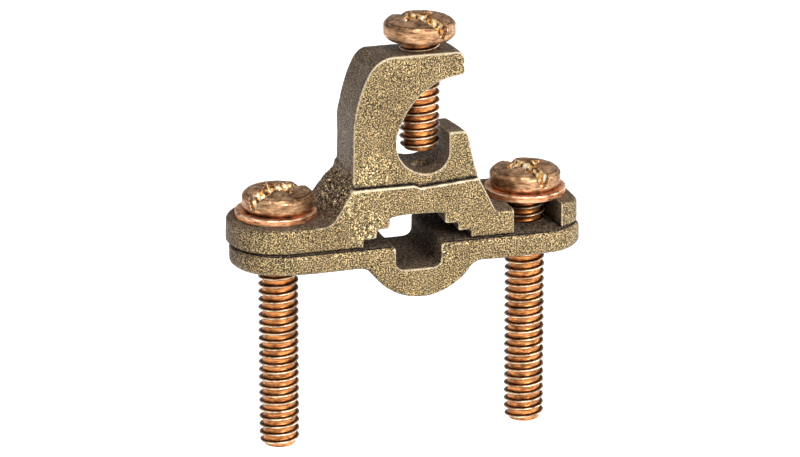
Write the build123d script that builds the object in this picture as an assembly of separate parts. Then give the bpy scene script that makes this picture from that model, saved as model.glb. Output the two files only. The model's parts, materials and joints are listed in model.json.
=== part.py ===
from build123d import *
from math import acos, atan2, cos, hypot, sin, sqrt
import os

# Earth rod clamp: two cast bronze jaws drawn together on a rod or pipe by two
# long screws, with a cast hook on top that takes the conductor under a third,
# shorter screw. Millimetres. X runs along the jaws to the slotted end, Y runs
# along the rod, Z points up to the hook. The origin is the middle of the rod
# seat, on the face where the two jaws meet.

os.makedirs("parts", exist_ok=True)

# ---------------------------------------------------------------- screws
inch = 25.4
shank_radius = 3.12               # crest of the 1/4-20 thread
tip_chamfer = 0.8
clamp_screw_length = 1.5 * inch
wire_screw_length = 0.6875 * inch
thread_gap = 0.06                 # screw crest to tapped bore, all round
passing_gap = 0.1                 # screw crest to plain bore, all round

head_radius = 5.5
head_side = 2.85                  # height of the rim of the head
head_edge = 0.6                   # easing of the rim, above and below
head_dome = 0.75                  # rise of the dome above the rim
drive_depth = 0.9                 # floor of the straight slot above the seat
slot_floor_width = 0.7
slot_mouth_width = 3.1
cross_width = 1.35
cross_mouth_radius = 3.4
cross_floor_radius = 1.2
cross_floor = 0.5                 # floor of the cross above the seat
pivot_drive_angle = 30
slot_drive_angle = 104
wire_drive_angle = 114

washer_radius = 6.3
washer_bore_radius = 3.45
washer_thickness = 1.05
washer_edge = 0.15
pivot_washer_drift = 0.3          # the loose washer hangs off centre

# ---------------------------------------------------------------- jaws
screw_spacing = 39.7
pivot_reach = 7.95                # from the pivot screw to the end of the upper jaw
slot_reach = 8.45                 # the same at the slotted end, before it is cut
upper_depth = 16.4
flange_thickness = 4.0
flange_edge = 0.6
upper_end_reach = 6.9             # both round ends are cut straight past the slot
lower_end_reach = 7.45
end_corner = 0.8

lower_inset = 0.25                # the lower jaw ends just inside the upper one
lower_depth = 16.0
lower_forward = 0.8               # the lower casting stands a little forward
lower_thickness = 3.2
slot_end_thickness = 3.6          # the lower casting is thicker at the slotted end
lower_edge = 0.5

arch_half_widths = (8.55, 6.5, 4.4)
arch_step = 1.4                   # rise of each step of the rod seat
arch_roof = 4.5
arch_crown = 0.25                 # the cast roof bows up a little
pocket_half_width = 3.6
pocket_depth = 3.8
pocket_corner = 1.2
pocket_lip = 0.4
hump_radius = 9.4                 # round of the boss under the pocket
hump_drop = 8.55                  # lowest point of the boss below the jaw face
hump_shift = 0.7
hump_blend = 2.6

slot_width = 7.8
slot_wall_reach = 3.45            # from the slot screw to the far wall of the slot
slot_past = 1.4                   # its round end is centred this far behind the screw

# ---------------------------------------------------------------- hook
hook_depth = 10.4
hook_draft = 2.0                  # degrees, narrower towards the back
ledge = 0.4                       # the hook face lies behind the flange face
ledge_height = 9.5
ledge_drop = 0.45                 # jog in the ledge line at mid length
ledge_rise = 0.25                 # the line ends this much above its start
hook_left = -10.1
hook_foot = -13.6                 # foot of the slope towards the pivot end
hook_foot_blend = 2.5
spot_face = 0.4                   # room round the pivot washer in the slope
hook_top = 29.9
hook_fall = 1.0                   # the top and the lip fall to the back
bow_start = 17.0                  # height where the back of the hook starts to bow
bow_radius = 23.0
crown_radius = 4.8
tip_reach = 7.65
tip_corner = 1.3
throat_height = 26.05             # underside of the hook at its tip
throat_radius = 10.6
seat_floor = 10.9
seat_back_radius = 5.15
lip_top = 17.2
lip_width = 3.0
lip_flare = 1.65
lip_corner = 0.5
slope_foot = 12.55                # foot of the slope towards the slotted end
shoulder_front = 11.3             # shoulder behind the hook
shoulder_back = 8.2
shoulder_inset = 3.0              # the shoulder ends short of the flange's back
shoulder_foot_inset = 1.7
wire_axis_x = 1.95
wire_screw_neck = 1.2             # thread left showing under the head
tip_mark_radius = 1.3             # dent left in the seat by the screw tip
tip_mark_depth = 0.3

pivot_x = -screw_spacing / 2
slot_x = screw_spacing / 2
upper_length = screw_spacing + pivot_reach + slot_reach
jaw_shift = (slot_reach - pivot_reach) / 2
lower_length = upper_length - 2 * lower_inset
flange_face = -upper_depth / 2
hook_face = flange_face + ledge
hook_back = hook_face + hook_depth
wire_axis_y = (hook_face + hook_back) / 2
seat_front_radius = shank_radius + passing_gap
lip_inner = wire_axis_x + seat_front_radius
slope_top = lip_inner + lip_width + lip_flare
head_seat = flange_thickness + washer_thickness
wire_head_seat = hook_top + wire_screw_neck


def prism(profile, front, back):
    """Carry a face drawn in X and Z from the front plane to the back one."""
    return Pos(0, back, 0) * extrude(Plane.XZ * profile, amount=back - front)


def strap(length, depth, height, forward, end_reach):
    """A plate on Z = 0: half-round at the pivot, cut straight at the slotted end."""
    outline = Pos(jaw_shift, -forward) * SlotOverall(length, depth)
    beyond = Pos(slot_x + end_reach + depth / 2, -forward) * Rectangle(depth, 2 * depth)
    outline -= beyond
    corners = outline.vertices().group_by(Axis.X)[-1]
    return extrude(fillet(corners, end_corner), amount=height)


def screw(length, slot_angle):
    """A round-head screw with a combined slot and cross, seated on Z = 0."""
    side_top = head_side - head_edge
    rim = head_radius - head_edge
    outline = Polyline(
        (0, 0),
        (rim, 0),
        (head_radius, head_edge),
        (head_radius, side_top),
        (rim, head_side),
    )
    crown = head_side + head_dome
    dome_radius = (rim**2 + head_dome**2) / (2 * head_dome)
    outline += RadiusArc((rim, head_side), (0, crown), -dome_radius)
    outline += Line((0, crown), (0, 0))
    head = revolve(Plane.XZ * make_face(outline), Axis.Z)

    mouth = slot_mouth_width / 2
    floor = slot_floor_width / 2
    trench = Polyline(
        (-floor, drive_depth),
        (floor, drive_depth),
        (mouth, crown),
        (-mouth, crown),
        close=True,
    )
    groove = extrude(Plane.YZ * make_face(trench), amount=head_radius + 1, both=True)

    bars = Rectangle(2 * cross_mouth_radius, cross_width)
    bars += Rectangle(cross_width, 2 * cross_mouth_radius)
    recess_height = crown - cross_floor
    recess = Pos(0, 0, cross_floor) * extrude(bars, amount=recess_height)
    cone = Cone(cross_floor_radius, cross_mouth_radius, recess_height)
    recess = recess & (Pos(0, 0, cross_floor + recess_height / 2) * cone)

    shank = Pos(0, 0, -length / 2) * Cylinder(shank_radius, length)
    shank = chamfer(shank.edges().sort_by(Axis.Z)[0], tip_chamfer)
    drive = Rot(0, 0, slot_angle) * (groove + recess)
    return head + shank - drive


def washer():
    """A flat washer lying on Z = 0, with its rims eased."""
    ring = Cylinder(washer_radius, washer_thickness) - Cylinder(washer_bore_radius, washer_thickness)
    rims = ring.edges().filter_by(GeomType.CIRCLE)
    return Pos(0, 0, washer_thickness / 2) * chamfer(rims, washer_edge)


def base_block():
    """The body of the upper jaw up to the shoulder: flanges, foot and slope."""
    half = upper_depth / 2
    plate = strap(upper_length, upper_depth, flange_thickness, 0, upper_end_reach)
    plate = fillet(plate.edges().group_by(Axis.Z)[-1], flange_edge)

    lip_lean = lip_flare / (lip_top - ledge_height)
    foot_start = hook_foot - hook_foot_blend
    outline = Polyline(
        (foot_start, 0),
        (foot_start, flange_thickness),
        (hook_foot, flange_thickness),
        (hook_left, ledge_height),
        (hook_left, shoulder_front),
        (slope_top - lip_lean * (shoulder_front - ledge_height), shoulder_front),
        (slope_top, ledge_height),
        (slope_foot, flange_thickness),
        (slope_foot, 0),
        close=True,
    )
    profile = make_face(outline)
    foot = profile.vertices().sort_by_distance((hook_foot, flange_thickness))[0]
    profile = fillet(foot, hook_foot_blend)
    block = prism(profile, -half, half)

    section = Polyline(
        (flange_face, 0),
        (flange_face, shoulder_front),
        (hook_back, shoulder_front),
        (half - shoulder_inset, shoulder_back),
        (half - shoulder_foot_inset, flange_thickness),
        (half - shoulder_foot_inset, 0),
        close=True,
    )
    side = extrude(Plane.YZ * make_face(section), amount=upper_length, both=True)
    return plate + (block & side) - ledge_cut()


def ledge_cut():
    """What is taken off above the witness line, down to the face of the hook."""
    jog = ledge_height - ledge_drop
    above = Polyline(
        (hook_foot, ledge_height),
        (-ledge_drop, ledge_height),
        (ledge_drop, jog),
        (slope_top, ledge_height + ledge_rise),
        (slope_foot, ledge_height + ledge_rise),
        (slope_foot, hook_top),
        (hook_foot, hook_top),
        close=True,
    )
    return prism(make_face(above), flange_face - ledge, hook_face)


def hook_outline():
    """The closed outline of the hook, up its back, round the tip and the seat."""
    root = ledge_height - ledge_drop - ledge
    bow_x = hook_left + bow_radius
    crown_z = hook_top - crown_radius
    reach = bow_radius - crown_radius
    crown_x = bow_x - sqrt(reach**2 - (crown_z - bow_start) ** 2)
    meet_x = bow_x + (crown_x - bow_x) * bow_radius / reach
    meet_z = bow_start + (crown_z - bow_start) * bow_radius / reach
    line = Line((hook_left, root), (hook_left, bow_start))
    line += RadiusArc((hook_left, bow_start), (meet_x, meet_z), bow_radius)
    line += RadiusArc((meet_x, meet_z), (crown_x, hook_top), crown_radius)
    line += Line((crown_x, hook_top), (tip_reach - tip_corner, hook_top))
    line += RadiusArc((tip_reach - tip_corner, hook_top), (tip_reach, hook_top - tip_corner), tip_corner)
    line += Line((tip_reach, hook_top - tip_corner), (tip_reach, throat_height))

    seat_x, seat_z = wire_axis_x, seat_floor + seat_back_radius
    throat_x, throat_z = tip_reach, throat_height - throat_radius
    span = hypot(seat_x - throat_x, seat_z - throat_z)
    lean = atan2(seat_z - throat_z, seat_x - throat_x) - acos((throat_radius - seat_back_radius) / span)
    normal_x, normal_z = cos(lean), sin(lean)
    throat_end = (throat_x + throat_radius * normal_x, throat_z + throat_radius * normal_z)
    seat_start = (seat_x + seat_back_radius * normal_x, seat_z + seat_back_radius * normal_z)
    line += RadiusArc((tip_reach, throat_height), throat_end, -throat_radius)
    line += Line(throat_end, seat_start)
    line += RadiusArc(seat_start, (seat_x, seat_floor), -seat_back_radius)

    front_centre = seat_floor + seat_front_radius
    line += RadiusArc((seat_x, seat_floor), (lip_inner, front_centre), -seat_front_radius)
    lip_outer = lip_inner + lip_width
    line += Polyline(
        (lip_inner, front_centre),
        (lip_inner, lip_top),
        (lip_outer - lip_corner, lip_top),
        (lip_outer, lip_top - lip_corner),
        (slope_top, ledge_height),
        (slope_top, root),
        (hook_left, root),
    )
    return line


def falling_top(height):
    """A slab that ends under a plane which falls from the hook's face to its back."""
    section = Polyline(
        (hook_face, 0),
        (hook_face, height),
        (hook_back, height - hook_fall),
        (hook_back, 0),
        close=True,
    )
    return extrude(Plane.YZ * make_face(section), amount=upper_length, both=True)


def upper_jaw():
    outline = make_face(hook_outline())
    hook = Pos(0, hook_face, 0) * extrude(Plane.XZ * outline, amount=-hook_depth, taper=hook_draft)
    hook = hook & falling_top(hook_top)
    over_lip = Pos(lip_inner + lip_width, wire_axis_y, lip_top) * Box(2 * lip_width, hook_depth, lip_width)
    hook -= over_lip - falling_top(lip_top)
    jaw = base_block() + hook

    jaw -= prism(make_face(seat_outline()), -upper_depth, upper_depth)
    mark_radius = (tip_mark_radius**2 + tip_mark_depth**2) / (2 * tip_mark_depth)
    jaw -= Pos(wire_axis_x, wire_axis_y, seat_floor - tip_mark_depth + mark_radius) * Sphere(mark_radius)
    jaw -= arch()
    jaw -= open_slot()
    jaw -= Pos(pivot_x, 0, flange_thickness / 2) * Cylinder(shank_radius + passing_gap, 2 * flange_thickness)
    facing = Cylinder(washer_radius + spot_face, ledge_height)
    jaw -= Pos(pivot_x - pivot_washer_drift / 2, 0, flange_thickness + ledge_height / 2) * facing
    bore_foot = (lip_top + throat_height) / 2
    bore_height = hook_top - bore_foot + 1
    bore = Cylinder(shank_radius + thread_gap, bore_height)
    jaw -= Pos(wire_axis_x, wire_axis_y, bore_foot + bore_height / 2) * bore
    return jaw


def seat_outline():
    """The round floor of the conductor seat, cut through to the back."""
    back_centre = seat_floor + seat_back_radius
    front_centre = seat_floor + seat_front_radius
    seat_left = wire_axis_x - seat_back_radius
    line = RadiusArc((seat_left, back_centre), (wire_axis_x, seat_floor), -seat_back_radius)
    line += RadiusArc((wire_axis_x, seat_floor), (lip_inner, front_centre), -seat_front_radius)
    line += Polyline((lip_inner, front_centre), (lip_inner, back_centre), (seat_left, back_centre))
    return line


def arch():
    """The stepped seat under the upper jaw, which grips rods of many sizes."""
    outer, middle, inner = arch_half_widths
    line = Polyline(
        (inner, arch_roof),
        (inner, 2 * arch_step),
        (middle, 2 * arch_step),
        (middle, arch_step),
        (outer, arch_step),
        (outer, -1),
        (-outer, -1),
        (-outer, arch_step),
        (-middle, arch_step),
        (-middle, 2 * arch_step),
        (-inner, 2 * arch_step),
        (-inner, arch_roof),
    )
    line += ThreePointArc((-inner, arch_roof), (0, arch_roof + arch_crown), (inner, arch_roof))
    return prism(make_face(line), -upper_depth, upper_depth)


def open_slot():
    """The slot that lets the second screw swing out to the front."""
    centre = slot_x + slot_wall_reach - slot_width / 2
    shape = Pos(centre, slot_past) * Circle(slot_width / 2)
    shape += Pos(centre, slot_past - upper_depth / 2) * Rectangle(slot_width, upper_depth)
    return extrude(shape, amount=flange_thickness + 1, both=True)


def lower_jaw():
    reach = lower_length
    centre_height = hump_radius - hump_drop
    pivot_half = sqrt(hump_radius**2 - (centre_height + lower_thickness) ** 2)
    slot_half = sqrt(hump_radius**2 - (centre_height + slot_end_thickness) ** 2)
    pivot_foot = (hump_shift - pivot_half, -lower_thickness)
    slot_foot = (hump_shift + slot_half, -slot_end_thickness)
    outline = Polyline((-reach, 0), (-reach, -lower_thickness), pivot_foot)
    outline += ThreePointArc(pivot_foot, (hump_shift, -hump_drop), slot_foot)
    outline += Polyline(slot_foot, (reach, -slot_end_thickness), (reach, 0), (-reach, 0))
    face = make_face(outline)
    feet = [face.vertices().sort_by_distance(foot)[0] for foot in (pivot_foot, slot_foot)]
    face = fillet(feet, hump_blend)
    half_depth = lower_depth / 2
    body = prism(face, -half_depth - lower_forward, half_depth - lower_forward)
    plan = strap(lower_length, lower_depth, 2 * hump_drop, lower_forward, lower_end_reach)
    body = body & (Pos(0, 0, -2 * hump_drop) * plan)
    walls = body.faces().filter_by(lambda f: abs(f.normal_at().Z) < 0.01)
    rims = walls.edges().filter_by(Axis.Z, reverse=True)
    body = chamfer(rims, lower_edge)

    body -= prism(pocket(), -lower_depth, lower_depth)
    for x in (pivot_x, slot_x):
        body -= Pos(x, 0, 0) * Cylinder(shank_radius + thread_gap, 4 * lower_thickness)
    return body


def pocket():
    """The square pocket for the rod, rounded at its floor and open at the top."""
    mouth = pocket_half_width + pocket_lip
    outline = Polyline(
        (-mouth, pocket_lip),
        (-mouth, 0),
        (-pocket_half_width, -pocket_lip),
        (-pocket_half_width, -pocket_depth),
        (pocket_half_width, -pocket_depth),
        (pocket_half_width, -pocket_lip),
        (mouth, 0),
        (mouth, pocket_lip),
        close=True,
    )
    face = make_face(outline)
    return fillet(face.vertices().group_by(Axis.Y)[0], pocket_corner)


pieces = {
    "upper_jaw": upper_jaw(),
    "lower_jaw": lower_jaw(),
    "pivot_screw": Pos(pivot_x, 0, head_seat) * screw(clamp_screw_length, pivot_drive_angle),
    "slot_screw": Pos(slot_x, 0, head_seat) * screw(clamp_screw_length, slot_drive_angle),
    "pivot_washer": Pos(pivot_x - pivot_washer_drift, 0, flange_thickness) * washer(),
    "slot_washer": Pos(slot_x, 0, flange_thickness) * washer(),
    "wire_screw": Pos(wire_axis_x, wire_axis_y, wire_head_seat) * screw(wire_screw_length, wire_drive_angle),
}

for name, piece in pieces.items():
    piece.label = name
    export_step(piece, f"parts/{name}.step")
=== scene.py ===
# %% [markdown]
# # Earth rod clamp
# Two cast bronze jaws are pulled together on an earth rod by two long screws, and a hook on top holds the
# earth wire under a third screw. The measured solids are loaded first as a fixed frame. Everything made
# below is dressed over them: as-cast skins, rolled threads, stamped heads, pressed washers and finishes.

# %% Load the frame
import bmesh
import bpy
import json
from math import cos, radians, sin
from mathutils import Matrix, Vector, noise

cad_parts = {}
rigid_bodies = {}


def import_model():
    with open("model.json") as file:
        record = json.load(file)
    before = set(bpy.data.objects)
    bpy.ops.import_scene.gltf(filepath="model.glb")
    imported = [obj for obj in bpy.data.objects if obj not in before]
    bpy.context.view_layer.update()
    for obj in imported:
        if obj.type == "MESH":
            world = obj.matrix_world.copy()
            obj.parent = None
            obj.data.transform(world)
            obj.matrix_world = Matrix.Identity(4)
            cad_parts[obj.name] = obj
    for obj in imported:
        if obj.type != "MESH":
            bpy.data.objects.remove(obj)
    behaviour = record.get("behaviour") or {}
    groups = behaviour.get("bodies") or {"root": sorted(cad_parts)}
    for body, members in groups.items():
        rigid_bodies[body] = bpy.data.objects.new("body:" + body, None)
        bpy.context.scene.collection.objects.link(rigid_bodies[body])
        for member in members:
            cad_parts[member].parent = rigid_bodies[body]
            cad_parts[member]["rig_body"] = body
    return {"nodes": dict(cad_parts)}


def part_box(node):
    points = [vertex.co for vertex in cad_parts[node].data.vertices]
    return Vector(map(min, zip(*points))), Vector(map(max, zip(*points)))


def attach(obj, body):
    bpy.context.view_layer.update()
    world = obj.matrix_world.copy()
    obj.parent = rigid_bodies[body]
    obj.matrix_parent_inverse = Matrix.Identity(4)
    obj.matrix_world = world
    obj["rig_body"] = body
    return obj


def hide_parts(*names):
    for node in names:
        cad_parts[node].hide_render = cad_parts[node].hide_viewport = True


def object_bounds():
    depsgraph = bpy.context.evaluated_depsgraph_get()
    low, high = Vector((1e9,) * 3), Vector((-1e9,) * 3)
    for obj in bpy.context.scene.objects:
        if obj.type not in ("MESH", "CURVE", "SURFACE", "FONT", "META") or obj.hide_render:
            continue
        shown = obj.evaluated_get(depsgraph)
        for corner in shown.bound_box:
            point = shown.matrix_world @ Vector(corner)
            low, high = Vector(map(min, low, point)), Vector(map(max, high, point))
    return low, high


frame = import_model()
solid_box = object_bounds()
MM = 0.001

# %% [markdown]
# ## Camera
# A small metal part is shot from a good distance with a long lens, so its edges stay nearly parallel.
# The camera stands a little to the left of the front and looks down on the clamp.

# %% Camera
CAMERA_AZIMUTH, CAMERA_ELEVATION = radians(-17), radians(18.5)
CAMERA_DISTANCE = 855 * MM
CAMERA_LENS, CAMERA_SENSOR = 250.09, 36
camera_target = Vector((-0.34, 0, -0.14)) * MM
camera_back = Vector((
    sin(CAMERA_AZIMUTH) * cos(CAMERA_ELEVATION),
    -cos(CAMERA_AZIMUTH) * cos(CAMERA_ELEVATION),
    sin(CAMERA_ELEVATION),
))
camera = bpy.data.objects.new("camera", bpy.data.cameras.new("camera"))
bpy.context.scene.collection.objects.link(camera)
camera.data.lens = CAMERA_LENS
camera.data.sensor_width = CAMERA_SENSOR
camera.data.clip_start, camera.data.clip_end = 0.05, 20
camera.location = camera_target + camera_back * CAMERA_DISTANCE
camera.rotation_mode = "QUATERNION"
camera.rotation_quaternion = (-camera_back).to_track_quat("-Z", "Y")
bpy.context.scene.camera = camera
print("camera at", [round(c, 4) for c in camera.location])

# %% [markdown]
# ## Studio
# Bronze mostly shows what stands round it. One broad lamp in front lights the faces that look that way, a
# weaker one from above draws the rims, a third, weaker still, lights the right flanks, and the pale surround
# is kept dim so that the other flanks stay dark. The floor is plain and pale. Small lamps would have given
# hard spots on the rolled threads.

# %% Floor, surround and lamps
FLOOR_DROP = 12 * MM
floor_level = solid_box[0].z - FLOOR_DROP
bm = bmesh.new()
bmesh.ops.create_grid(bm, x_segments=1, y_segments=1, size=3)
bmesh.ops.translate(bm, verts=bm.verts, vec=(0, 0, floor_level))
floor_mesh = bpy.data.meshes.new("floor")
bm.to_mesh(floor_mesh)
bm.free()
floor = bpy.data.objects.new("floor", floor_mesh)
bpy.context.scene.collection.objects.link(floor)
floor_paint = bpy.data.materials.new("pale_floor")
floor_paint.use_nodes = True
floor_shader = floor_paint.node_tree.nodes["Principled BSDF"]
floor_shader.inputs["Base Color"].default_value = (0.93, 0.93, 0.92, 1)
floor_shader.inputs["Roughness"].default_value = 0.9
floor_shader.inputs["Specular IOR Level"].default_value = 0.1
floor_shader.inputs["Emission Color"].default_value = (1, 1, 1, 1)
floor_shader.inputs["Emission Strength"].default_value = 0.4
floor_mesh.materials.append(floor_paint)

surround = bpy.data.worlds.new("surround")
surround.use_nodes = True
surround.node_tree.nodes["Background"].inputs["Color"].default_value = (0.97, 0.98, 1, 1)
surround.node_tree.nodes["Background"].inputs["Strength"].default_value = 0.4
bpy.context.scene.world = surround


def lamp(name, azimuth, elevation, distance, size, power):
    """A square soft lamp that points at the clamp."""
    a, e = radians(azimuth), radians(elevation)
    back = Vector((sin(a) * cos(e), -cos(a) * cos(e), sin(e)))
    light = bpy.data.lights.new(name, "AREA")
    light.shape, light.size, light.energy = "SQUARE", size, power
    made = bpy.data.objects.new(name, light)
    bpy.context.scene.collection.objects.link(made)
    made.location = back * distance
    made.rotation_mode = "QUATERNION"
    made.rotation_quaternion = (-back).to_track_quat("-Z", "Y")
    print(name, "at", [round(c, 3) for c in made.location], power, "W")


lamp("front_lamp", 14, 28, 0.75, 0.3, 5)
lamp("top_lamp", -30, 70, 0.8, 0.25, 2.5)
lamp("right_lamp", 80, 25, 0.6, 0.15, 1.2)
bpy.context.scene.view_settings.view_transform = "Standard"

# %% [markdown]
# ## Helpers for meshes
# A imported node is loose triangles, so a copy is merged before it is worked on. The castings and the screw
# heads have no sharp edge in metal: a fine voxel remesh gives an even skin, and smoothing then rounds every
# edge at once, as a mould or a die does. Bevelling each edge by hand would be slower and look machined.


# %% Helpers
def merged_copy(node):
    """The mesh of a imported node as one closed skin."""
    bm = bmesh.new()
    bm.from_mesh(frame["nodes"][node].data)
    bmesh.ops.remove_doubles(bm, verts=bm.verts, dist=0.002 * MM)
    return bm


def everything(bm):
    """All the vertices, edges and faces, for a cut."""
    return bm.verts[:] + bm.edges[:] + bm.faces[:]


def cut_at(bm, point, normal):
    """Takes off what lies beyond the plane and closes the cut."""
    cut = bmesh.ops.bisect_plane(
        bm, geom=everything(bm), dist=1e-8, plane_co=point, plane_no=normal, clear_outer=True
    )
    rim = [e for e in cut["geom_cut"] if isinstance(e, bmesh.types.BMEdge)]
    bmesh.ops.edgeloop_fill(bm, edges=rim)


def evened(bm, voxel, passes):
    """The same skin with an even mesh and rounded edges."""
    mesh = bpy.data.meshes.new("evened")
    bm.to_mesh(mesh)
    bm.free()
    piece = bpy.data.objects.new("evened", mesh)
    bpy.context.scene.collection.objects.link(piece)
    remesh = piece.modifiers.new("remesh", "REMESH")
    remesh.mode, remesh.voxel_size, remesh.adaptivity = "VOXEL", voxel, 0
    smooth = piece.modifiers.new("smooth", "SMOOTH")
    smooth.factor, smooth.iterations = 0.5, passes
    depsgraph = bpy.context.evaluated_depsgraph_get()
    done = bpy.data.meshes.new_from_object(piece.evaluated_get(depsgraph))
    bpy.data.objects.remove(piece)
    bpy.data.meshes.remove(mesh)
    bm = bmesh.new()
    bm.from_mesh(done)
    bpy.data.meshes.remove(done)
    return bm


def placed(bm, name, node, material):
    """Makes the finished object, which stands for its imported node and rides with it."""
    bmesh.ops.recalc_face_normals(bm, faces=bm.faces)
    for face in bm.faces:
        face.smooth = True
    mesh = bpy.data.meshes.new(name)
    bm.to_mesh(mesh)
    bm.free()
    piece = bpy.data.objects.new(name, mesh)
    bpy.context.scene.collection.objects.link(piece)
    mesh.materials.append(material)
    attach(piece, frame["nodes"][node]["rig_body"])
    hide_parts(node)


# %% [markdown]
# ## Helpers for finishes
# The noise in every finish is read in object coordinates, and the marks for painted shade, painted rim
# highlights and thread roots are stored on the vertices, so both stay put on their piece when the clamp
# opens. Five small helpers keep the
# node trees short: noise, a stored mark, a ramp, a mix and a bump.


# %% Finish helpers
class Finish:
    """A material and the few node shapes that all the finishes share."""

    def __init__(self, name):
        self.material = bpy.data.materials.new(name)
        self.material.use_nodes = True
        self.tree = self.material.node_tree
        self.shader = self.tree.nodes["Principled BSDF"]
        self.place = self.tree.nodes.new("ShaderNodeTexCoord").outputs["Object"]

    def link(self, source, target):
        self.tree.links.new(source, target)

    def noise(self, size, detail=4, roughness=0.6, stretch=(1, 1, 1)):
        """Noise whose lumps are about size metres across."""
        mapping = self.tree.nodes.new("ShaderNodeMapping")
        mapping.inputs["Scale"].default_value = stretch
        self.link(self.place, mapping.inputs["Vector"])
        texture = self.tree.nodes.new("ShaderNodeTexNoise")
        texture.inputs["Scale"].default_value = 1 / size
        texture.inputs["Detail"].default_value = detail
        texture.inputs["Roughness"].default_value = roughness
        self.link(mapping.outputs["Vector"], texture.inputs["Vector"])
        return texture.outputs["Fac"]

    def stored(self, name):
        """A number that was stored on the vertices under this name."""
        node = self.tree.nodes.new("ShaderNodeAttribute")
        node.attribute_name = name
        return node.outputs["Fac"]

    def ramp(self, factor, *stops):
        """A ramp through (position, colour) stops; a colour may be one number."""
        node = self.tree.nodes.new("ShaderNodeValToRGB")
        elements = node.color_ramp.elements
        while len(elements) < len(stops):
            elements.new(0.5)
        for element, (position, colour) in zip(elements, stops):
            element.position = position
            element.color = (*colour, 1) if hasattr(colour, "__len__") else (colour, colour, colour, 1)
        self.link(factor, node.inputs["Fac"])
        return node.outputs["Color"]

    def mix(self, kind, factor, a, b):
        """Two colours mixed; the factor may be a number or a socket."""
        node = self.tree.nodes.new("ShaderNodeMix")
        node.data_type, node.blend_type = "RGBA", kind
        for socket, value in ((node.inputs[0], factor), (node.inputs[6], a), (node.inputs[7], b)):
            if hasattr(value, "is_output"):
                self.link(value, socket)
            elif hasattr(value, "__len__"):
                socket.default_value = (*value, 1)
            else:
                socket.default_value = value
        return node.outputs[2]

    def bump(self, height, strength, distance):
        """Fine relief that only bends the light."""
        node = self.tree.nodes.new("ShaderNodeBump")
        node.inputs["Strength"].default_value = strength
        node.inputs["Distance"].default_value = distance
        self.link(height, node.inputs["Height"])
        self.link(node.outputs["Normal"], self.shader.inputs["Normal"])


# %% [markdown]
# ## Sand-cast bronze
# The castings come out of sand with a fine grain all over. Their colour paints light and shade: the broad
# front and back faces are painted a lighter tan as if lit, and the flanks and tops a darker brown-grey as
# painted shade. The mesh carries the coarse grain; the finish adds the fine grain as speckle and bump,
# painted highlights on the rims and painted shade in the creases and hollows. Lit tan and shaded brown are
# told apart by the world's Y direction, which is right for the closed clamp
# only: when the lower jaw swings out, its broad faces turn brown.

# %% Cast finish
# Lit and shaded copies of the bronze: a lighter tan for faces painted as lit, a darker brown for faces
# painted as in shade
LIT_FACE_DEEP, LIT_FACE_PALE = (0.131, 0.093, 0.044), (0.184, 0.132, 0.064)
SHADED_SIDE_DEEP, SHADED_SIDE_PALE = (0.085, 0.056, 0.032), (0.12, 0.082, 0.05)
RIM_HIGHLIGHT_COLOUR = (0.66, 0.56, 0.4)
SHADE_COLOUR = (0.036, 0.024, 0.014)
DULL = (0.95, 0.95, 0.95)
CLOUD_SIZE, GRAIN_SIZE, PIT_SIZE, SCRATCH_SIZE = 5 * MM, 0.2 * MM, 0.42 * MM, 0.5 * MM


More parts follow.
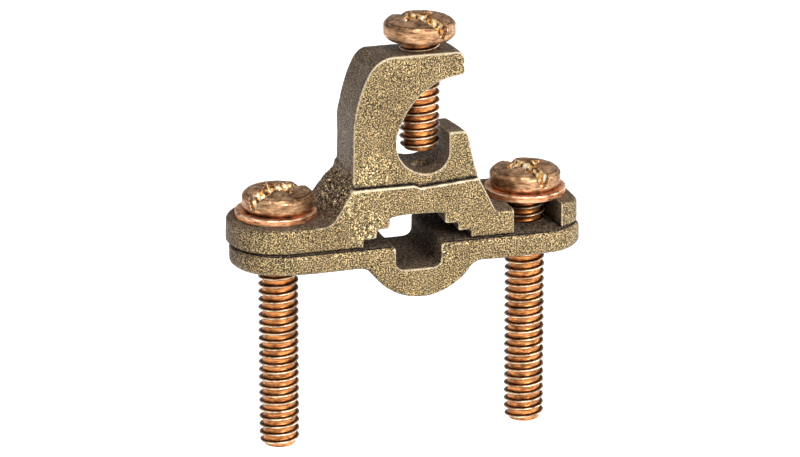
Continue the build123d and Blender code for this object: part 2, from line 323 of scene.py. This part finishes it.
def cast_finish(name, striations):
    """Sand-cast bronze; striations is how strongly a belt grinder has marked it along X."""
    cast = Finish(name)
    geometry = cast.tree.nodes.new("ShaderNodeNewGeometry")
    normal = cast.tree.nodes.new("ShaderNodeSeparateXYZ")
    cast.link(geometry.outputs["Normal"], normal.inputs[0])
    facing = cast.tree.nodes.new("ShaderNodeMath")
    facing.operation = "ABSOLUTE"
    cast.link(normal.outputs["Y"], facing.inputs[0])
    # Painted light: the more a face looks along Y, front or back, the more of the lit tan it gets; the rest
    # gets the painted shade
    lit_face_share = cast.ramp(facing.outputs[0], (0.25, 0.0), (0.75, 1.0))
    clouds = cast.noise(CLOUD_SIZE, 3, 0.5)
    grains = cast.noise(GRAIN_SIZE, 2, 0.7)
    lit_face_tone = cast.ramp(clouds, (0.3, LIT_FACE_DEEP), (0.7, LIT_FACE_PALE))
    shaded_side_tone = cast.ramp(clouds, (0.3, SHADED_SIDE_DEEP), (0.7, SHADED_SIDE_PALE))
    skin = cast.mix("MIX", lit_face_share, shaded_side_tone, lit_face_tone)
    speckle = cast.ramp(grains, (0.38, 0.02), (0.46, 0.55), (0.54, 1.3), (0.61, 4.4))
    skin = cast.mix("MULTIPLY", 1.0, skin, speckle)
    pits = cast.ramp(cast.noise(PIT_SIZE, 3, 0.7), (0.42, 0.03), (0.5, 0.8), (0.57, 6.0))
    skin = cast.mix("MULTIPLY", cast.stored("rough"), skin, pits)
    # Painted shade in the creases and a painted highlight on the rims, read from how far each vertex stands
    # out
    bend = cast.stored("bend")
    crease_shade = cast.ramp(bend, (0.38, 0.25), (0.46, 1.0))
    skin = cast.mix("MULTIPLY", 1.0, skin, crease_shade)
    rim_highlight = cast.ramp(bend, (0.595, 0.0), (0.655, 0.8))
    skin = cast.mix("MIX", rim_highlight, skin, RIM_HIGHLIGHT_COLOUR)
    # Painted shade: where the stored mask is high the skin turns dark, near black at the top, and duller and
    # less metallic
    painted_shade = cast.stored("painted_shade")
    shade_tone = cast.mix("MULTIPLY", 0.8, SHADE_COLOUR, pits)
    shade_tone = cast.mix("MULTIPLY", 1.0, shade_tone, cast.ramp(painted_shade, (0.9, 1.0), (0.98, 0.1)))
    skin = cast.mix("MIX", painted_shade, skin, shade_tone)
    cast.link(skin, cast.shader.inputs["Base Color"])
    cast.link(cast.ramp(painted_shade, (0.0, 0.5), (0.7, 0.05)), cast.shader.inputs["Metallic"])
    grain_roughness = cast.ramp(grains, (0.3, 0.65), (0.7, 0.42))
    roughness = cast.mix("MIX", painted_shade, grain_roughness, DULL)
    cast.link(roughness, cast.shader.inputs["Roughness"])
    scratches = cast.noise(SCRATCH_SIZE, 3, 0.6, (0.08, 1, 1))
    relief = cast.mix("MIX", striations, grains, scratches)
    cast.shader.inputs["Specular IOR Level"].default_value = 0.3
    cast.bump(relief, 0.8, 0.08 * MM)
    print("finish", name, len(cast.tree.nodes), "nodes")
    return cast.material


cast_bronze = cast_finish("cast_bronze", 0.0)
ground_bronze = cast_finish("ground_cast_bronze", 0.6)

# %% [markdown]
# ## Silicon bronze and copper
# The screws are rolled from silicon bronze and tumbled. Their colour paints a pale highlight on the crests
# and painted shade on the dark brown flanks between; the roots are orange. The washers are stamped from soft
# copper and are pinker.
# Each piece stores a mark called crest, from 0 in the deepest root to 1 on the outermost rim, and the colour
# follows it, painted light included. The stamped recesses of the heads carry a second mark for the fresh
# metal and its painted glints, and glitter in gold, near white and black.

# %% Screw and washer finishes
BRONZE_SHINE, COPPER_SHINE = 0.3, 0.3
# From root to crest: orange roots, dark brown flanks as painted shade, and a near-white crest as a painted
# highlight
BRONZE_LAYERS = [
    (0.0, (0.66, 0.27, 0.085)), (0.12, (0.45, 0.16, 0.045)), (0.34, (0.035, 0.012, 0.005)),
    (0.6, (0.07, 0.028, 0.012)), (0.76, (0.5, 0.3, 0.165)), (0.95, (1.0, 0.82, 0.62)),
]
COPPER_LAYERS = [
    (0.0, (0.25, 0.07, 0.03)), (0.5, (0.8, 0.33, 0.14)), (0.8, (0.95, 0.47, 0.26)),
    (1.0, (1.0, 0.75, 0.56)),
]
STAIN_STOPS = [(0.36, (0.42, 0.3, 0.2)), (0.5, (0.85, 0.8, 0.74)), (0.64, (1.25, 1.2, 1.15))]
# Gold of the fresh metal, with painted glints near white and black specks
GLINT_AND_SPECK_STOPS = [
    (0.42, (0.03, 0.012, 0.002)), (0.47, (0.75, 0.3, 0.05)), (0.53, (1, 0.72, 0.28)),
    (0.6, (1, 0.97, 0.8)),
]


def bright_metal(name, layers, shine):
    """A rolled or stamped metal; layers are its colours from the deepest root to the outermost crest."""
    metal = Finish(name)
    # The tone along the crest mark paints highlights on the crests and shade on the flanks
    tone = metal.ramp(metal.stored("crest"), *layers)
    stains = metal.ramp(metal.noise(2.0 * MM, 5, 0.65, (0.8, 0.8, 1.6)), *STAIN_STOPS)
    tone = metal.mix("MULTIPLY", 0.9, tone, stains)
    drawn_out = metal.noise(0.65 * MM, 4, 0.65, (0.5, 0.5, 2.5))
    streaks = metal.ramp(drawn_out, (0.38, 0.25), (0.5, 1.0), (0.62, 1.6))
    tone = metal.mix("MULTIPLY", 0.75, tone, streaks)
    # In the recesses: fresh gold with painted glints, and less metallic, so the shaded recess is painted
    # bright
    fresh_and_glint = metal.stored("fresh_and_glint")
    glints_and_specks = metal.ramp(metal.noise(0.8 * MM, 2, 0.5), *GLINT_AND_SPECK_STOPS)
    tone = metal.mix("MIX", fresh_and_glint, tone, glints_and_specks)
    metal.link(tone, metal.shader.inputs["Base Color"])
    metal.link(metal.ramp(fresh_and_glint, (0.0, 0.9), (0.7, 0.35)), metal.shader.inputs["Metallic"])
    gloss = metal.ramp(metal.noise(0.7 * MM, 4, 0.6), (0.3, shine), (0.7, shine + 0.25))
    metal.link(gloss, metal.shader.inputs["Roughness"])
    metal.bump(metal.noise(0.35 * MM, 3, 0.6), 0.35, 0.04 * MM)
    print("finish", name, len(metal.tree.nodes), "nodes")
    return metal.material


silicon_bronze = bright_metal("silicon_bronze", BRONZE_LAYERS, BRONZE_SHINE)
copper = bright_metal("soft_copper", COPPER_LAYERS, COPPER_SHINE)

# %% [markdown]
# ## Castings
# Both jaws are poured in sand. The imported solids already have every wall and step, so a merged copy is
# evened out and its vertices are pushed along their normals by three layers of noise: the slow sag of the
# mould, the sand grain, and deeper pits where the metal froze last, at the foot of the hook. Before that,
# each vertex stores how far it stands out of its neighbours, which finds the rims and the creases.

# %% Sand skin
GRAIN = 0.02 * MM
SAG = 0.09 * MM
CLAMP_AXES = [Vector((-19.85, 0)), Vector((19.85, 0))]
DRILLED_REACH = 3.7
DRILLED_ROOM = 0.05 * MM


def sand_skin(bm, rough_spots, holes, shade_groove_highlight_at):
    """Pushes the skin by noise and marks where shade is painted. Rough_spots are (centre, reach, depth)
    in millimetres; the walls of holes, given by their axes, are drilled and stay smooth; the last argument
    gives the painted shade, from 0 to 1, the groove's depth and the painted rim highlight at a place."""
    painted_shade_layer, rough, bend = (bm.verts.layers.float.new(name) for name in ("painted_shade", "rough", "bend"))
    bm.normal_update()
    # This stand-out measure later paints shade in the creases and a highlight on the rims
    for vert in bm.verts:
        around = [edge.other_vert(vert).co for edge in vert.link_edges]
        reach = sum((other - vert.co).length for other in around)
        stands_out = sum((vert.co - other for other in around), Vector()).dot(vert.normal) / reach
        vert[bend] = 0.5 + stands_out
    for vert in bm.verts:
        at = vert.co / MM
        push = GRAIN * (noise.noise(at * 1.9) + 0.6 * noise.noise(at * 3.7))
        push += SAG * noise.noise(at * 0.22)
        for centre, reach, depth in rough_spots:
            near = 1 - (at - Vector(centre)).length / reach
            if near > 0:
                push += depth * MM * near * (noise.noise(at * 1.2) + noise.noise(at * 2.6))
                vert[rough] = min(1, max(vert[rough], 2.4 * depth * near - 0.15))
        if any((at.xy - hole).length < DRILLED_REACH for hole in holes):
            push = -DRILLED_ROOM
        painted_shade, groove, rim = shade_groove_highlight_at(at, vert.normal)
        if 0 < painted_shade <= 0.9:
            painted_shade = max(0, painted_shade + 0.15 * noise.noise(at * 1.1))
        vert[painted_shade_layer] = painted_shade
        vert[bend] = max(vert[bend], rim)
        vert.co += vert.normal * (push - groove * MM)


# %% [markdown]
# ### Painted shade and the parting line
# Painted shade darkens and dulls the bronze where little light reaches: inside the rod seat, in the slot,
# under the washers and between the jaws. On the front, the two halves of the pattern met in a line with a
# small jog, and the sand left a crack-like groove there, which also gets painted shade. A shallow notch
# crosses the end of the hook's top, and the wire screw has left a dent in the hook's floor. Painted shade and
# painted rim highlights are stored on the vertices, so that the finish can read them; the groove, the notch
# and the dent are pressed into the skin.


# %% Painted shade on the two jaws
# Landmarks of the castings, in millimetres from the middle of the rod seat
LEDGE, JOG, RISE, SHOULDER = 9.5, 0.45, 0.25, 9.8
FRONT_SKIN = -7.2
PARTING_LIFT, PARTING_HALF, PARTING_DEPTH = 0.12, 0.3, 0.4
SPLIT_EDGE = 0.32
NOTCH_X, NOTCH_Z, NOTCH_DEPTH = 7.2, 27.7, 0.3
ARCH_TOP, ARCH_HALF = 4.9, 8.75
SLOT_TOP, SLOT_NEAR, SLOT_FAR = 3.9, 15, 23.6
FLANGE_SKIN_LOW, FLANGE_SKIN_HIGH, FLANGE_INNER = 3, 4.3, 12.7
HOOK_X, HOOK_Z, HOOK_REACH, HOOK_TOP = 1.95, 16.05, 5.5, 19
DENT_Y, DENT_REACH, DENT_DEPTH, SEAT_SKIN = -2.6, 1.5, 0.3, 12.5
DENT_RIM_INNER, DENT_RIM_OUTER = 0.8, 1.4
POCKET_HALF, POCKET_FLOOR = 4.3, -4.2
# A skin looks sideways when its normal leans along Y by less than this
SIDEWAYS = 0.6


def parting_line(x):
    """Height of the line on the front of the upper jaw, in millimetres."""
    if x < -JOG:
        return LEDGE
    if x < JOG:
        return LEDGE - (x + JOG) / 2
    return LEDGE - JOG + (JOG + RISE) * (x - JOG) / (SHOULDER - JOG)


def upper_shade_groove_highlight(at, normal):
    """Painted shade, groove depth and painted rim highlight of the upper jaw at a place."""
    painted_shade, groove, rim = 0.0, 0.0, 0.0
    sideways = abs(normal.y) < SIDEWAYS
    if at.y < FRONT_SKIN:
        over = at.z - parting_line(at.x)
        near = 1 - abs(over - PARTING_LIFT) / PARTING_HALF
        # Painted shade in the parting-line groove, which is also pressed in
        if near > 0:
            painted_shade, groove = min(1, 1.8 * near), PARTING_DEPTH * near
        # Just below the line, a painted highlight on the ledge's edge
        elif -0.5 < over < 0:
            rim = 0.68
    # Painted shade between the two jaws, along a small groove
    if at.z < SPLIT_EDGE:
        painted_shade, groove = 1.0, 0.6 * (SPLIT_EDGE - at.z)
    if at.x > NOTCH_X and abs(at.z - NOTCH_Z) < NOTCH_DEPTH:
        groove = NOTCH_DEPTH - abs(at.z - NOTCH_Z)
    # Painted shade inside the rod seat and the slot
    if at.z < ARCH_TOP and abs(at.x) < ARCH_HALF and sideways:
        painted_shade = max(painted_shade, 0.8)
    if at.z < SLOT_TOP and SLOT_NEAR < at.x < SLOT_FAR and sideways:
        painted_shade = max(painted_shade, 0.75)
    # Painted shadow of the washers on the flange tops
    if FLANGE_SKIN_LOW < at.z < FLANGE_SKIN_HIGH and normal.z > 0.6 and abs(at.x) > FLANGE_INNER:
        painted_shade = max(painted_shade, 0.6)
    in_hook = (at.x - HOOK_X) ** 2 + (at.z - HOOK_Z) ** 2 < HOOK_REACH ** 2
    if at.z < HOOK_TOP and in_hook and sideways:
        dent = Vector((at.x - HOOK_X, at.y - DENT_Y)).length
        # A faint painted shade inside the hook, none in the dent
        painted_shade, groove = 0.12, 0.0
        if dent <= DENT_REACH and at.z <= SEAT_SKIN:
            painted_shade, groove = 0.0, DENT_DEPTH
        # A painted highlight: a pale crescent on the front of the dent's rim
        if DENT_RIM_INNER < dent < DENT_RIM_OUTER and at.z < SEAT_SKIN and at.y + at.x < 0.2:
            rim = 0.7
    return painted_shade, groove, rim


def lower_shade_groove_highlight(at, normal):
    """The same for the lower jaw: its top face and edges, and the pocket."""
    painted_shade = 0.0
    # Painted shade on the top face, which lies under the upper jaw, and inside the pocket
    if at.z > -0.2:
        painted_shade = 1.0 if normal.z < 0.9 else 0.88
    if abs(at.x) < POCKET_HALF and at.z > POCKET_FLOOR and abs(normal.y) < SIDEWAYS:
        painted_shade = 0.85
    return painted_shade, 0.0, 0.0


# %% Upper jaw with its hook
# Rough places as (centre, reach, depth), in millimetres
UPPER_ROUGH = [
    ((-11.5, -5, 8), 5.5, 0.5), ((-11.0, 1, 7), 5.5, 0.5), ((-7, -8.2, 11.5), 5, 0.25),
    ((-8, -8.2, 3), 4, 0.3),
]
UPPER_VOXEL, LOWER_VOXEL, CAST_PASSES = 0.23 * MM, 0.21 * MM, 3
# The hook's back is smoothed further, beyond this depth and above this height
BACK_PASSES, BACK_BEYOND, BACK_ABOVE = 14, 2 * MM, 20 * MM

upper = evened(merged_copy("upper_jaw"), UPPER_VOXEL, CAST_PASSES)
hook_back = [v for v in upper.verts if v.co.y > BACK_BEYOND and v.co.z > BACK_ABOVE]
for _ in range(BACK_PASSES):
    bmesh.ops.smooth_vert(
        upper, verts=hook_back, factor=0.5, use_axis_x=True, use_axis_y=True, use_axis_z=True
    )
sand_skin(upper, UPPER_ROUGH, CLAMP_AXES[:1], upper_shade_groove_highlight)
placed(upper, "cast_upper_jaw", "upper_jaw", cast_bronze)

# %% Lower jaw
LOWER_ROUGH = [((4, -8.8, -2), 3, 0.25)]

lower = evened(merged_copy("lower_jaw"), LOWER_VOXEL, CAST_PASSES)
sand_skin(lower, LOWER_ROUGH, CLAMP_AXES, lower_shade_groove_highlight)
placed(lower, "cast_lower_jaw", "lower_jaw", ground_bronze)

# %% [markdown]
# ## Screws
# The thread is rolled: twenty turns to the inch, right-handed, with round crests. One pitch of its outline
# is spun up the axis, each step lifted by a small dvec, so that every turn meets the next. The head is cut
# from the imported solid, with its slot and cross, and evened so that the stamped edges roll over. The cut is
# a hair above the seat, clear of the head's flat underside. Noise roughens the recess, and a thin dark line
# runs round the top close to its rim.

# %% Thread
PITCH = 25.4 / 20 * MM
CREST, ROOT = 3.12 * MM, 2.42 * MM
TIP_EASE = 0.8 * MM
STEPS_A_TURN = 36
# (share of the pitch, share of the way from root to crest)
THREAD_OUTLINE = [(0, 0), (0.24, 0.03), (0.3, 0.12), (0.4, 0.78), (0.45, 0.96), (0.5, 1),
                  (0.55, 0.96), (0.6, 0.78), (0.7, 0.12), (0.76, 0.03), (1, 0)]


def threaded_shank(bm, axis, tip, top):
    """Adds a right-handed thread on the axis (x, y) from tip up to top, and gives its turns."""
    shank = bmesh.new()
    start = tip - 1.5 * PITCH
    outline = [
        shank.verts.new((axis[0] + ROOT + (CREST - ROOT) * rise, axis[1], start + PITCH * share))
        for share, rise in THREAD_OUTLINE
    ]
    edges = [shank.edges.new(pair) for pair in zip(outline, outline[1:])]
    turns = int((top - start) / PITCH) + 1
    bmesh.ops.spin(
        shank, geom=outline + edges, cent=(axis[0], axis[1], 0), axis=(0, 0, 1),
        dvec=(0, 0, PITCH / STEPS_A_TURN), angle=radians(360 * turns), steps=STEPS_A_TURN * turns,
    )
    bmesh.ops.remove_doubles(shank, verts=shank.verts, dist=0.002 * MM)
    cut_at(shank, (0, 0, top), (0, 0, 1))
    cut_at(shank, (0, 0, tip), (0, 0, -1))
    for vert in shank.verts:
        arm = Vector((vert.co.x - axis[0], vert.co.y - axis[1]))
        limit = CREST - TIP_EASE + max(0, vert.co.z - tip)
        if arm.length > limit:
            arm *= limit / arm.length
            vert.co.x, vert.co.y = axis[0] + arm.x, axis[1] + arm.y
    mesh = bpy.data.meshes.new("shank")
    shank.to_mesh(mesh)
    shank.free()
    bm.from_mesh(mesh)
    bpy.data.meshes.remove(mesh)
    return turns


# %% The three screws
# Lengths are in millimetres, but the voxel and the cut are in metres
HEAD_VOXEL, HEAD_PASSES, CUT_ABOVE_SEAT = 0.11 * MM, 12, 0.02 * MM
HEAD_RADIUS, DOME_FALL = 5.5, 0.75
RECESS_REACH, RECESS_DEPTH, BURR_REACH = 4.7, 0.3, 4.2
CHATTER, CHATTER_TURNS = 0.12, 6.5
RIM_LINE, RIM_LINE_HALF, RIM_LINE_HEIGHT = 4.95, 0.14, 2.7
HEAD_TONE = 0.76


def screw(node, seat, name):
    """A screw whose head seats at height seat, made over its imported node."""
    low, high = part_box(node)
    axis = Vector(((low.x + high.x) / 2, (low.y + high.y) / 2))
    bm = merged_copy(node)
    cut_at(bm, (0, 0, seat + CUT_ABOVE_SEAT), (0, 0, -1))
    bm = evened(bm, HEAD_VOXEL, HEAD_PASSES)
    bm.normal_update()
    fresh_and_glint, crest = (bm.verts.layers.float.new(layer) for layer in ("fresh_and_glint", "crest"))
    for vert in bm.verts:
        at = vert.co / MM
        radius = (vert.co.xy - axis).length / MM
        push = 0.035 * noise.noise(at * 1.4) + 0.015 * noise.noise(at * 4)
        burr = 1 - radius / BURR_REACH
        if burr > 0 and at.z > seat / MM + 1:
            push += burr ** 0.5 * (0.22 * noise.noise(at * 1.7) + 0.14 * noise.noise(at * 3.5))
        deep = high.z / MM - at.z - DOME_FALL * (radius / HEAD_RADIUS) ** 2
        # This mark brings the fresh gold and the painted glints into the recess
        if radius < RECESS_REACH and at.z > seat / MM + 0.6:
            vert[fresh_and_glint] = min(0.9, max(0, (deep - RECESS_DEPTH) / 0.3))
            push += CHATTER * vert[fresh_and_glint] * sin(CHATTER_TURNS * radius)
        vert.co += vert.normal * push * MM
    turns = threaded_shank(bm, axis, low.z, seat + 0.3 * MM)
    for vert in bm.verts:
        radius = (vert.co.xy - axis).length
        vert[crest] = min(1, max(0, (radius - ROOT) / (CREST - ROOT)))
        # Painted shade: a thin darker ring round the top, close to the rim, at the crease
        if vert.co.z > seat:
            ring = max(0, 1 - abs(radius / MM - RIM_LINE) / RIM_LINE_HALF)
            on_top = vert.co.z > seat + RIM_LINE_HEIGHT * MM
            vert[crest] = HEAD_TONE - 0.15 * ring * on_top
    print(name, turns, "turns")
    placed(bm, name, node, silicon_bronze)


CLAMP_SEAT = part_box("slot_washer")[1].z
WIRE_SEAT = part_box("wire_screw")[0].z + 0.6875 * 25.4 * MM
screw("pivot_screw", CLAMP_SEAT, "pivot_screw_rolled")
screw("slot_screw", CLAMP_SEAT, "slot_screw_rolled")
screw("wire_screw", WIRE_SEAT, "wire_screw_rolled")

# %% [markdown]
# ## Washers
# A press stamps the washers from copper sheet and rolls both rims over a little. A small outline is spun
# round the axis, each corner with its own painted brightness: painted highlights on the rolled rims, painted
# shade at the bore, underneath and a little across the middle of the side; noise then pushes the whole
# slightly out of round.

# %% Washers
WASHER_BORE = 3.45 * MM
OUT_OF_ROUND = 0.035 * MM


def washer(node, name):
    """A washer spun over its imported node."""
    low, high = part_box(node)
    x, y = (low.x + high.x) / 2, (low.y + high.y) / 2
    rim, thick = (high.x - low.x) / 2, high.z - low.z
    bm = bmesh.new()
    # (radius, share of the thickness, brightness: painted highlight on the rims, painted shade at the bore
    # and underneath)
    corners = [
        (WASHER_BORE, 0.15, 0.3), (WASHER_BORE, 0.8, 0.3), (WASHER_BORE + 0.2 * MM, 1, 0.5),
        (rim - 0.6 * MM, 1, 0.75), (rim - 0.3 * MM, 1, 0.8), (rim - 0.12 * MM, 0.99, 1),
        (rim - 0.03 * MM, 0.95, 1), (rim, 0.86, 0.9), (rim, 0.75, 0.7), (rim, 0.3, 0.75),
        (rim, 0.12, 0.95), (rim - 0.05 * MM, 0.03, 0.9), (rim - 0.15 * MM, 0, 0.4),
        (WASHER_BORE + 0.15 * MM, 0, 0.2),
    ]
    crest = bm.verts.layers.float.new("crest")
    ring = []
    for radius, share, brightness in corners:
        ring.append(bm.verts.new((x + radius, y, low.z + thick * share)))
        ring[-1][crest] = brightness
    edges = [bm.edges.new(pair) for pair in zip(ring, ring[1:] + ring[:1])]
    bmesh.ops.spin(
        bm, geom=ring + edges, cent=(x, y, 0), axis=(0, 0, 1), angle=radians(360), steps=128,
        use_merge=True,
    )
    for vert in bm.verts:
        at = vert.co / MM
        arm = Vector((vert.co.x - x, vert.co.y - y, 0)).normalized()
        vert.co += arm * OUT_OF_ROUND * noise.noise(at * 0.9)
    placed(bm, name, node, copper)


washer("pivot_washer", "pivot_washer_pressed")
washer("slot_washer", "slot_washer_pressed")
